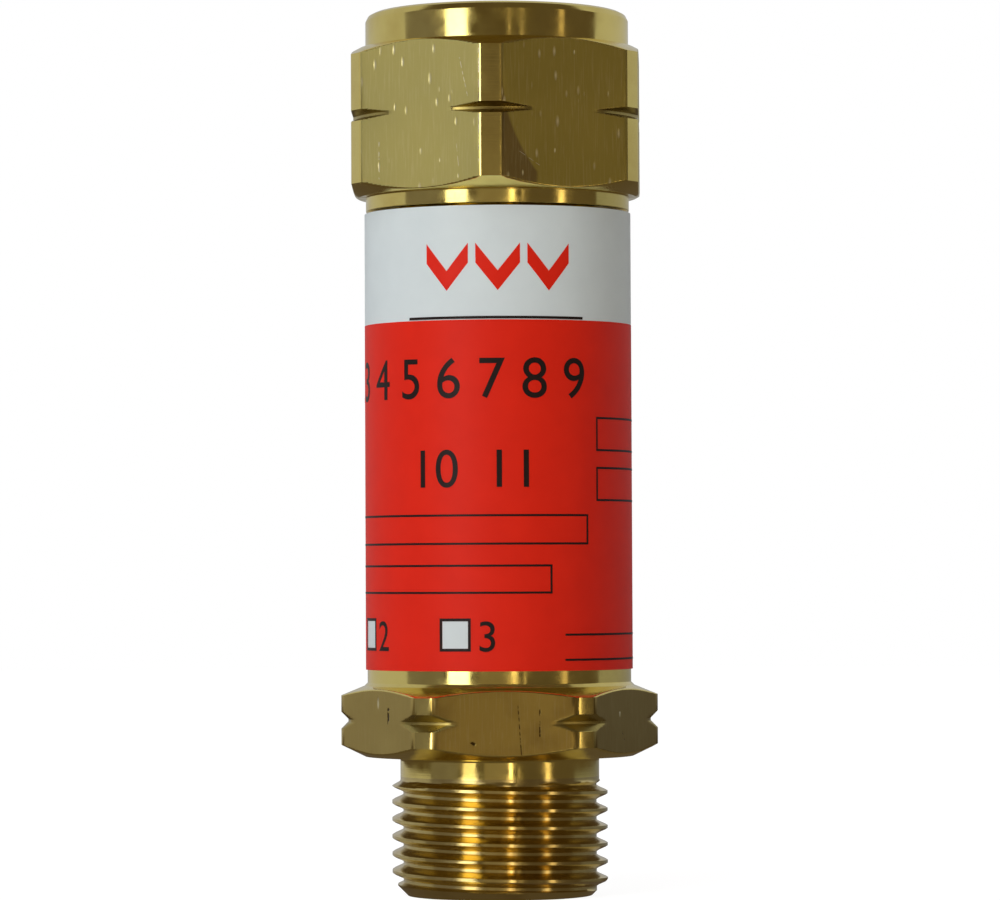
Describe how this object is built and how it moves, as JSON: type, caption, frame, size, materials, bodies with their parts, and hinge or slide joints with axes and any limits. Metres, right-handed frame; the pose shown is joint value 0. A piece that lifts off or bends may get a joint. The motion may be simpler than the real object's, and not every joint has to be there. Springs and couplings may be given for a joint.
{
  "type": "gas safety valve",
  "caption": "In-line gas safety valve with a union nut inlet, labelled tubular housing with a hexagon, and a threaded outlet.",
  "frame": {"origin": "centre of the outlet end face, on the axis, where the valve stands", "axes": "+Z along the axis from the outlet towards the inlet, -Y towards the front of the label, +X to its right"},
  "size_m": [0.0244, 0.0244, 0.0682],
  "materials": {
    "brass": "satin turned and drawn",
    "label_white": "gloss film",
    "label_red": "gloss print",
    "label_black": "gloss print",
    "steel": "bright",
    "sintered_steel": "porous sintered",
    "solder": "dull cast",
    "rubber": "matte",
    "fibre": "matte"
  },
  "bodies": {
    "housing_body": {"housing": "brass", "inlet_nipple": "brass", "valve_carrier": "brass", "cutoff_piston": "brass", "arrestor_carrier": "brass", "nut_retaining_ring": "steel", "inlet_strainer": "steel", "strainer_ring": "steel", "valve_spring": "steel", "cutoff_spring": "steel", "flame_arrestor": "sintered_steel", "fusible_ring": "solder", "nose_o_ring": "rubber", "nipple_o_ring": "rubber", "cutoff_o_ring": "rubber", "arrestor_gasket_upper": "fibre", "arrestor_gasket_lower": "fibre", "label_film": "label_white", "label_red_field": "label_red", "label_black_marks": "label_black"},
    "nut_body": {"union_nut": "brass"},
    "valve_body": {"valve_plate": "brass", "valve_seal": "rubber"}
  },
  "joints": [
    {"name": "nut_swivel", "type": "hinge", "parent": "housing_body", "child": "nut_body", "pos_m": [0, 0, 0.0547], "axis": [0, 0, 1], "continuous": true},
    {"name": "valve_lift", "type": "slide", "parent": "housing_body", "child": "valve_body", "axis": [0, 0, -1], "range_m": [0, 0.0012], "stiffness_N_per_m": 100, "springref_m": -0.003, "deforming": ["valve_spring"]}
  ]
}
